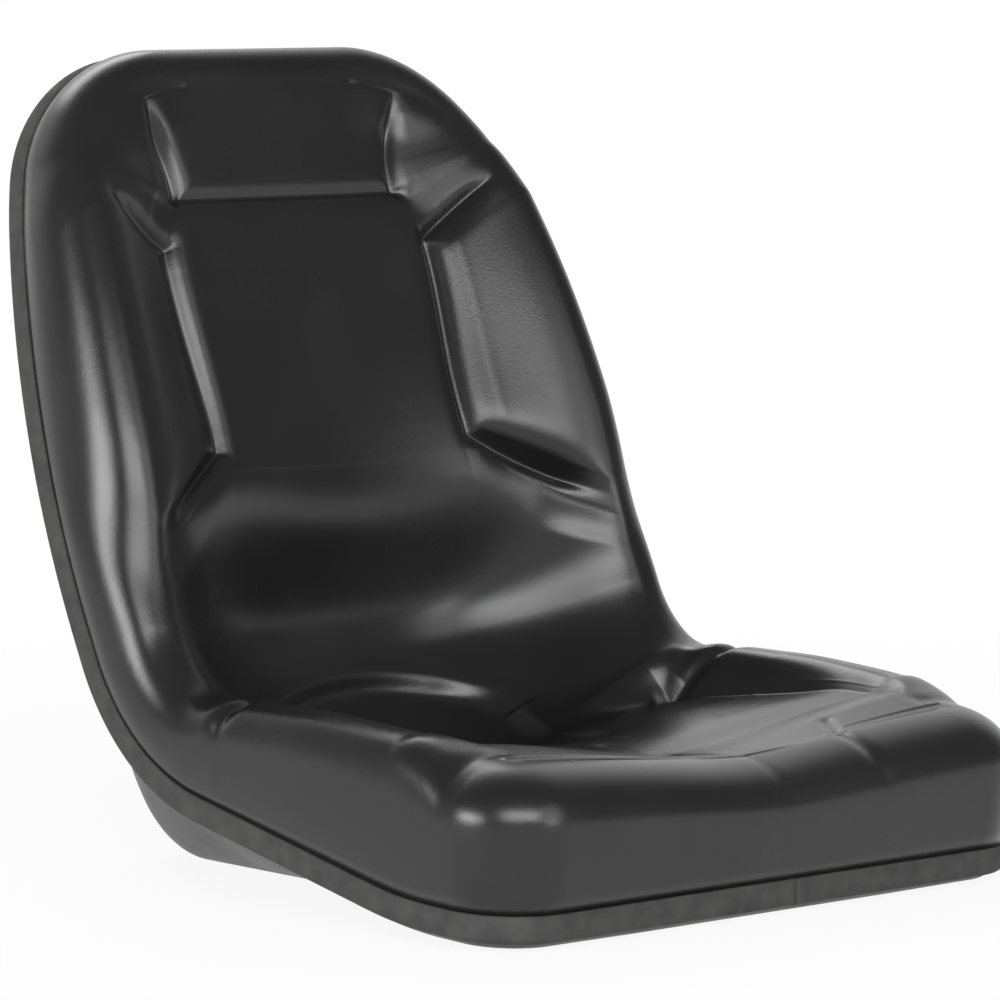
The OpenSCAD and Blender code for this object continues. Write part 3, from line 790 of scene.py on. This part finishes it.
def grain(tree, place, cells, fine, strength, depth):
    """Bump of pebbled cells with a finer noise on them."""
    pebble = add(tree, "ShaderNodeTexVoronoi", [("Vector", place)], Scale=cells)
    pebble.feature = "SMOOTH_F1"
    noise = add(tree, "ShaderNodeTexNoise", [("Vector", place)], Scale=fine, Detail=2.0)
    both = add(tree, "ShaderNodeMath", [(0, pebble.outputs["Distance"]), (1, noise.outputs["Fac"])],
               operation="ADD")
    bump = add(tree, "ShaderNodeBump", [("Height", both.outputs[0])], Strength=strength,
               Distance=depth)
    return bump.outputs["Normal"]


def place_of(tree):
    return add(tree, "ShaderNodeTexCoord").outputs["Object"]


def skin_material():
    material, tree, shader = node_material("glossy_skin")
    place = place_of(tree)
    tree.links.new(tinted(tree, place, 9, (0.008, 0.008, 0.0084), (0.013, 0.013, 0.0134)),
                   shader.inputs["Base Color"])
    tree.links.new(mottled(tree, place, 14, 0.24, 0.29), shader.inputs["Roughness"])
    tree.links.new(grain(tree, place, 620, 1900, 0.16, 0.0004), shader.inputs["Normal"])
    shader.inputs["Specular IOR Level"].default_value = 0.5
    return material


def rubber_material():
    material, tree, shader = node_material("strip_rubber")
    place = place_of(tree)
    tree.links.new(tinted(tree, place, 60, (0.026, 0.026, 0.026), (0.046, 0.045, 0.044)),
                   shader.inputs["Base Color"])
    tree.links.new(mottled(tree, place, 90, 0.68, 0.86), shader.inputs["Roughness"])
    tree.links.new(grain(tree, place, 900, 2400, 0.35, 0.0005), shader.inputs["Normal"])
    return material


def paint_material():
    material, tree, shader = node_material("pan_paint")
    place = place_of(tree)
    tree.links.new(tinted(tree, place, 12, (0.022, 0.022, 0.023), (0.03, 0.03, 0.031)),
                   shader.inputs["Base Color"])
    tree.links.new(mottled(tree, place, 30, 0.4, 0.5), shader.inputs["Roughness"])
    noise = add(tree, "ShaderNodeTexNoise", [("Vector", place)], Scale=260.0, Detail=2.0)
    bump = add(tree, "ShaderNodeBump", [("Height", noise.outputs["Fac"])], Strength=0.1,
               Distance=0.0004)
    tree.links.new(bump.outputs["Normal"], shader.inputs["Normal"])
    return material


def zinc_material():
    material, tree, shader = node_material("zinc_plate")
    place = place_of(tree)
    tree.links.new(tinted(tree, place, 180, (0.46, 0.46, 0.44), (0.6, 0.6, 0.57)),
                   shader.inputs["Base Color"])
    tree.links.new(mottled(tree, place, 240, 0.3, 0.46), shader.inputs["Roughness"])
    shader.inputs["Metallic"].default_value = 1.0
    return material


def dress(piece, material):
    piece.data.materials.clear()
    piece.data.materials.append(material)


def toward(azimuth, elevation):
    a, e = math.radians(azimuth), math.radians(elevation)
    return Vector((math.sin(a) * math.cos(e), -math.cos(a) * math.cos(e), math.sin(e)))


def background_rays(tree):
    """1 for the rays that see the background: from the camera, off metal or through glass."""
    path = add(tree, "ShaderNodeLightPath").outputs
    seen = add(tree, "ShaderNodeMath", [(0, path["Is Camera Ray"]), (1, path["Is Glossy Ray"])],
               operation="MAXIMUM").outputs[0]
    return add(tree, "ShaderNodeMath", [(0, seen), (1, path["Is Transmission Ray"])],
               operation="MAXIMUM").outputs[0]


FLOOR_HALF = 6.0
# Share of plain white in the floor, close to the seat and far from it
FLOOR_WHITE = 0.9
FLOOR_NEAR = 0.5
FLOOR_FAR = 1.5


def make_floor():
    low = cad_box[0].z - 0.0003
    mesh = bpy.data.meshes.new("floor")
    corners = [(x * FLOOR_HALF, y * FLOOR_HALF, low) for x, y in ((-1, -1), (1, -1), (1, 1), (-1, 1))]
    mesh.from_pydata(corners, [], [(0, 1, 2, 3)])
    floor = bpy.data.objects.new("floor", mesh)
    bpy.context.scene.collection.objects.link(floor)
    material, tree, shader = node_material("pale_floor")
    shader.inputs["Base Color"].default_value = (0.85, 0.85, 0.85, 1)
    shader.inputs["Roughness"].default_value = 0.9
    white = add(tree, "ShaderNodeEmission", Strength=1.0)
    away = add(tree, "ShaderNodeVectorMath", [(0, place_of(tree))], operation="LENGTH")
    level = add(tree, "ShaderNodeMapRange", [("Value", away.outputs["Value"])],
                From_Min=FLOOR_NEAR, From_Max=FLOOR_FAR, To_Min=FLOOR_WHITE, To_Max=1.0)
    share = add(tree, "ShaderNodeMath", [(0, background_rays(tree)), (1, level.outputs["Result"])],
                operation="MULTIPLY")
    mix = add(tree, "ShaderNodeMixShader", [(0, share.outputs[0]), (1, shader.outputs[0]),
                                            (2, white.outputs[0])])
    tree.links.new(mix.outputs[0], tree.nodes["Material Output"].inputs["Surface"])
    floor.data.materials.append(material)


STUDIO_DIM = 0.16
BEHIND = toward(152, 0)


def make_world():
    """A studio that is white low down and behind the seat, and dim in front and overhead."""
    world = bpy.data.worlds.new("studio")
    bpy.context.scene.world = world
    world.use_nodes = True
    tree = world.node_tree
    direction = add(tree, "ShaderNodeTexCoord").outputs["Generated"]
    height = add(tree, "ShaderNodeSeparateXYZ", [(0, direction)]).outputs["Z"]
    low = add(tree, "ShaderNodeMapRange", [("Value", height)], From_Min=-0.02, From_Max=0.08,
              To_Min=1.0, To_Max=STUDIO_DIM)
    facing = add(tree, "ShaderNodeVectorMath", [(0, direction)], operation="DOT_PRODUCT")
    facing.inputs[1].default_value = BEHIND
    behind = add(tree, "ShaderNodeMapRange", [("Value", facing.outputs["Value"])], From_Min=0.35,
                 From_Max=0.7, To_Min=STUDIO_DIM, To_Max=1.0)
    level = add(tree, "ShaderNodeMath", [(0, low.outputs["Result"]), (1, behind.outputs["Result"])],
                operation="MAXIMUM")
    tree.links.new(level.outputs[0], tree.nodes["Background"].inputs["Strength"])
    tree.nodes["Background"].inputs["Color"].default_value = (1, 1, 1, 1)


CAMERA_AZIMUTH = -42.3
CAMERA_ELEVATION = 5.5
CAMERA_DISTANCE = 3.966
CAMERA_LENS = 208.4
TARGET = Vector((-0.0074, 0, 0.2563))


def aim(thing, azimuth, elevation, distance):
    back = toward(azimuth, elevation)
    thing.location = TARGET + back * distance
    thing.rotation_euler = back.to_track_quat("Z", "Y").to_euler()


def make_lamp(name, azimuth, elevation, distance, size, watts):
    data = bpy.data.lights.new(name, "AREA")
    data.shape = "RECTANGLE"
    data.size, data.size_y = size
    data.energy = watts
    lamp = bpy.data.objects.new(name, data)
    bpy.context.scene.collection.objects.link(lamp)
    aim(lamp, azimuth, elevation, distance)


def make_camera():
    data = bpy.data.cameras.new("camera")
    data.lens, data.sensor_width = CAMERA_LENS, 36
    data.clip_end = 50
    camera = bpy.data.objects.new("camera", data)
    bpy.context.scene.collection.objects.link(camera)
    aim(camera, CAMERA_AZIMUTH, CAMERA_ELEVATION, CAMERA_DISTANCE)
    bpy.context.scene.camera = camera


make_camera()
dress(make_cushion(), skin_material())
dress(make_pan(), paint_material())
dress(make_strip(), rubber_material())
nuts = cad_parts["weld_nuts"]
dress(nuts, zinc_material())
make_floor()
make_world()
make_lamp("front_box", -28, 25, 4.6, (4.0, 1.7), 175)
make_lamp("left_box", -98, 11, 4.2, (2.2, 1.1), 110)
make_lamp("right_box", 17, 22, 4.2, (1.6, 2.4), 28)
make_lamp("low_box", 11, 6, 4.2, (0.6, 0.5), 12)
make_lamp("back_box", 160, 42, 4.2, (2.6, 1.3), 38)
bpy.context.scene.view_settings.view_transform = "Standard"
